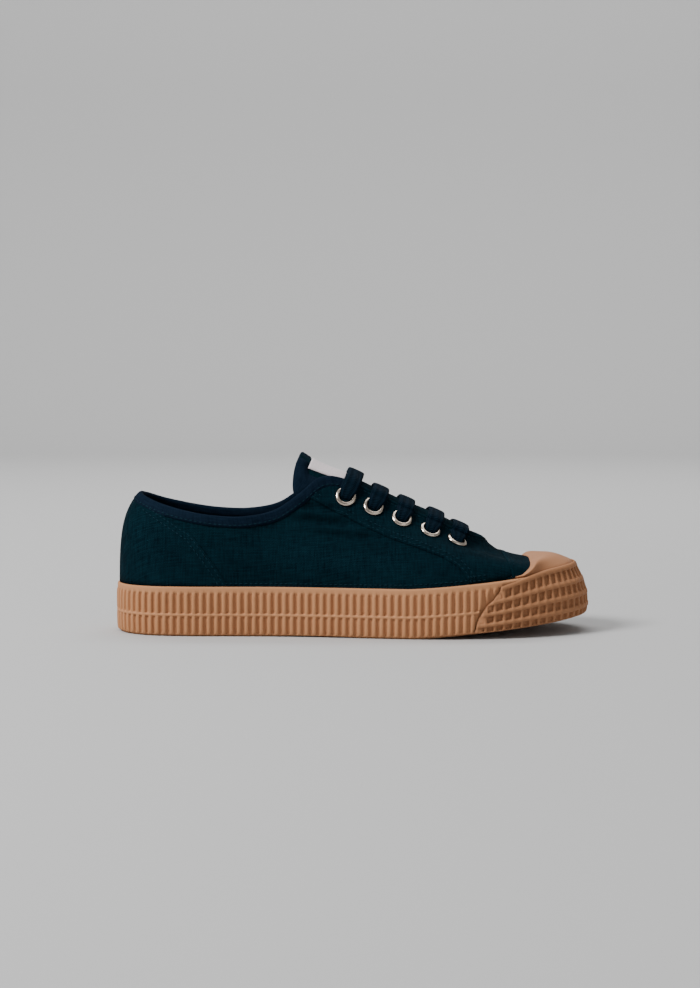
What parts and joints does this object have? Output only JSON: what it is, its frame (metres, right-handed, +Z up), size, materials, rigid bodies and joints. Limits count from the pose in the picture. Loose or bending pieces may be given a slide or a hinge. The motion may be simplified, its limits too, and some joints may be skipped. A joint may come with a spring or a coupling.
{
  "type": "canvas sneaker",
  "caption": "Low laced canvas shoe for the right foot: hollow upper with bound collar, tongue, metal eyelets and straight-barred flat lace on a ribbed gum rubber sole with a toe cap.",
  "frame": {"origin": "Middle of the shoe in plan, on the floor that the tread stands on.", "axes": "+X to the toe, +Y to the inner side of the right foot, +Z up."},
  "size_m": [0.29, 0.1042, 0.1084],
  "materials": {
    "canvas": "matt woven cotton canvas",
    "lining": "matt cotton lining",
    "foxing_gum": "semi-matt gum rubber",
    "outsole_gum": "matt gum rubber",
    "cap_gum": "smooth satin gum rubber",
    "eyelet_metal": "warm nickel plate",
    "lace": "flat woven cotton lace"
  },
  "bodies": {
    "root": {"outsole": "outsole_gum", "foxing": "foxing_gum", "toe_guard": "foxing_gum", "toe_cap": "cap_gum", "upper": "canvas", "insole": "lining", "tongue": "canvas", "eyelet_lateral_1": "eyelet_metal", "eyelet_lateral_2": "eyelet_metal", "eyelet_lateral_3": "eyelet_metal", "eyelet_lateral_4": "eyelet_metal", "eyelet_lateral_5": "eyelet_metal", "eyelet_medial_1": "eyelet_metal", "eyelet_medial_2": "eyelet_metal", "eyelet_medial_3": "eyelet_metal", "eyelet_medial_4": "eyelet_metal", "eyelet_medial_5": "eyelet_metal", "lace_bar_1": "lace", "lace_bar_2": "lace", "lace_bar_3": "lace", "lace_bar_4": "lace", "lace_bar_5": "lace"}
  },
  "joints": []
}
